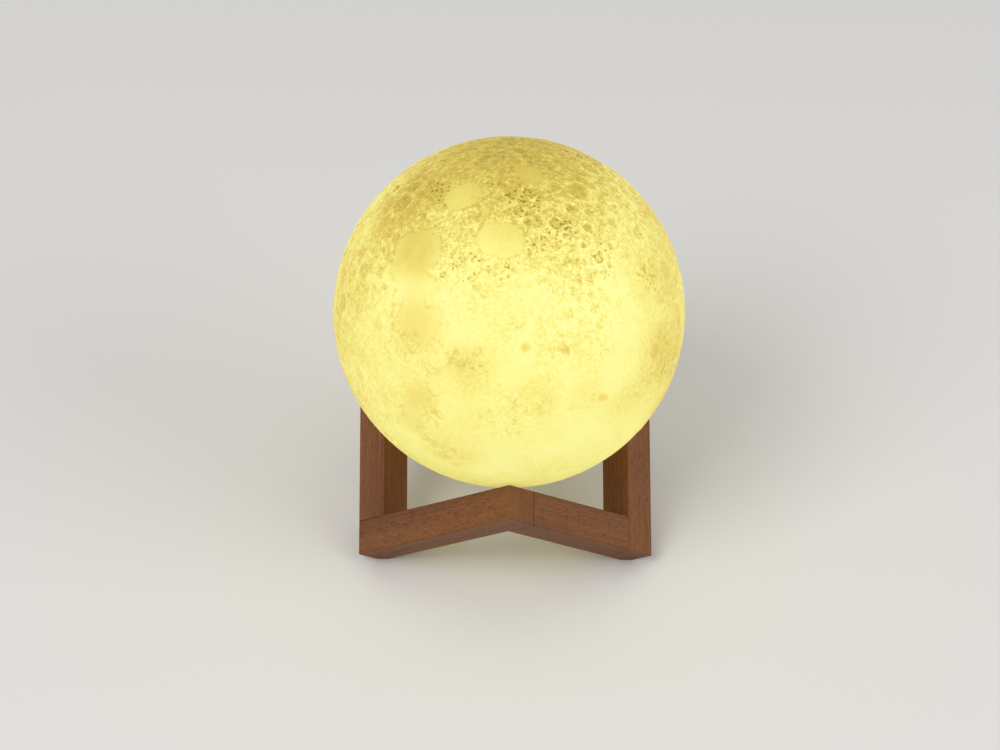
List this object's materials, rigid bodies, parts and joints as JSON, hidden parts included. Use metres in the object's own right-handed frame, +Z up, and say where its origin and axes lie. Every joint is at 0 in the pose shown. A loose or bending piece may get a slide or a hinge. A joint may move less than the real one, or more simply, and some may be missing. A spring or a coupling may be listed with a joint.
{
  "type": "moon lamp",
  "caption": "Printed moon globe lamp with a touch-ring light unit in its base, resting on a zig-zag crown stand of square wooden rails.",
  "frame": {"origin": "on the table, straight under the middle of the globe", "axes": "+Z up through the globe and the middle of the stand, -Y towards the viewer and the nearest carrying corner, +X to the right"},
  "size_m": [0.15, 0.15, 0.1856],
  "materials": {
    "rail_wood": "oiled, straight fine grain",
    "dowel_wood": "raw",
    "printed_moon": "printed in thin layers, lit from inside",
    "white_plastic": "fine moulded texture",
    "screw_steel": "satin",
    "touch_metal": "polished",
    "socket_steel": "satin",
    "clear_plastic": "clear",
    "board_green": "solder mask",
    "board_white": "solder mask",
    "chip_black": "moulded",
    "led_phosphor": "phosphor",
    "cell_foil": "foil pouch",
    "foam_tape": "closed-cell foam",
    "wire_sleeve": "smooth sleeve",
    "frosted_plastic": "frosted"
  },
  "bodies": {
    "stand": {"long_rail_front_left": "rail_wood", "long_rail_right": "rail_wood", "long_rail_back_left": "rail_wood", "short_rail_front_right": "rail_wood", "short_rail_back_right": "rail_wood", "short_rail_left": "rail_wood", "joint_dowels": "dowel_wood"},
    "moon": {"moon_shell": "printed_moon", "mounting_collar": "white_plastic", "base_plate": "white_plastic", "base_screws": "screw_steel", "touch_ring": "touch_metal", "touch_lead": "wire_sleeve", "charging_socket": "socket_steel", "light_pipe": "clear_plastic", "unit_housing": "white_plastic", "control_board": "board_green", "board_components": "chip_black", "battery_cell": "cell_foil", "battery_pad": "foam_tape", "battery_leads": "wire_sleeve", "led_board": "board_white", "led_chips": "led_phosphor", "led_board_screws": "screw_steel", "led_leads": "wire_sleeve", "diffuser_dome": "frosted_plastic"}
  },
  "joints": [
    {"name": "moon_lift", "type": "slide", "parent": "stand", "child": "moon", "axis": [0, 0, 1], "range_m": [0, 0.1]}
  ]
}
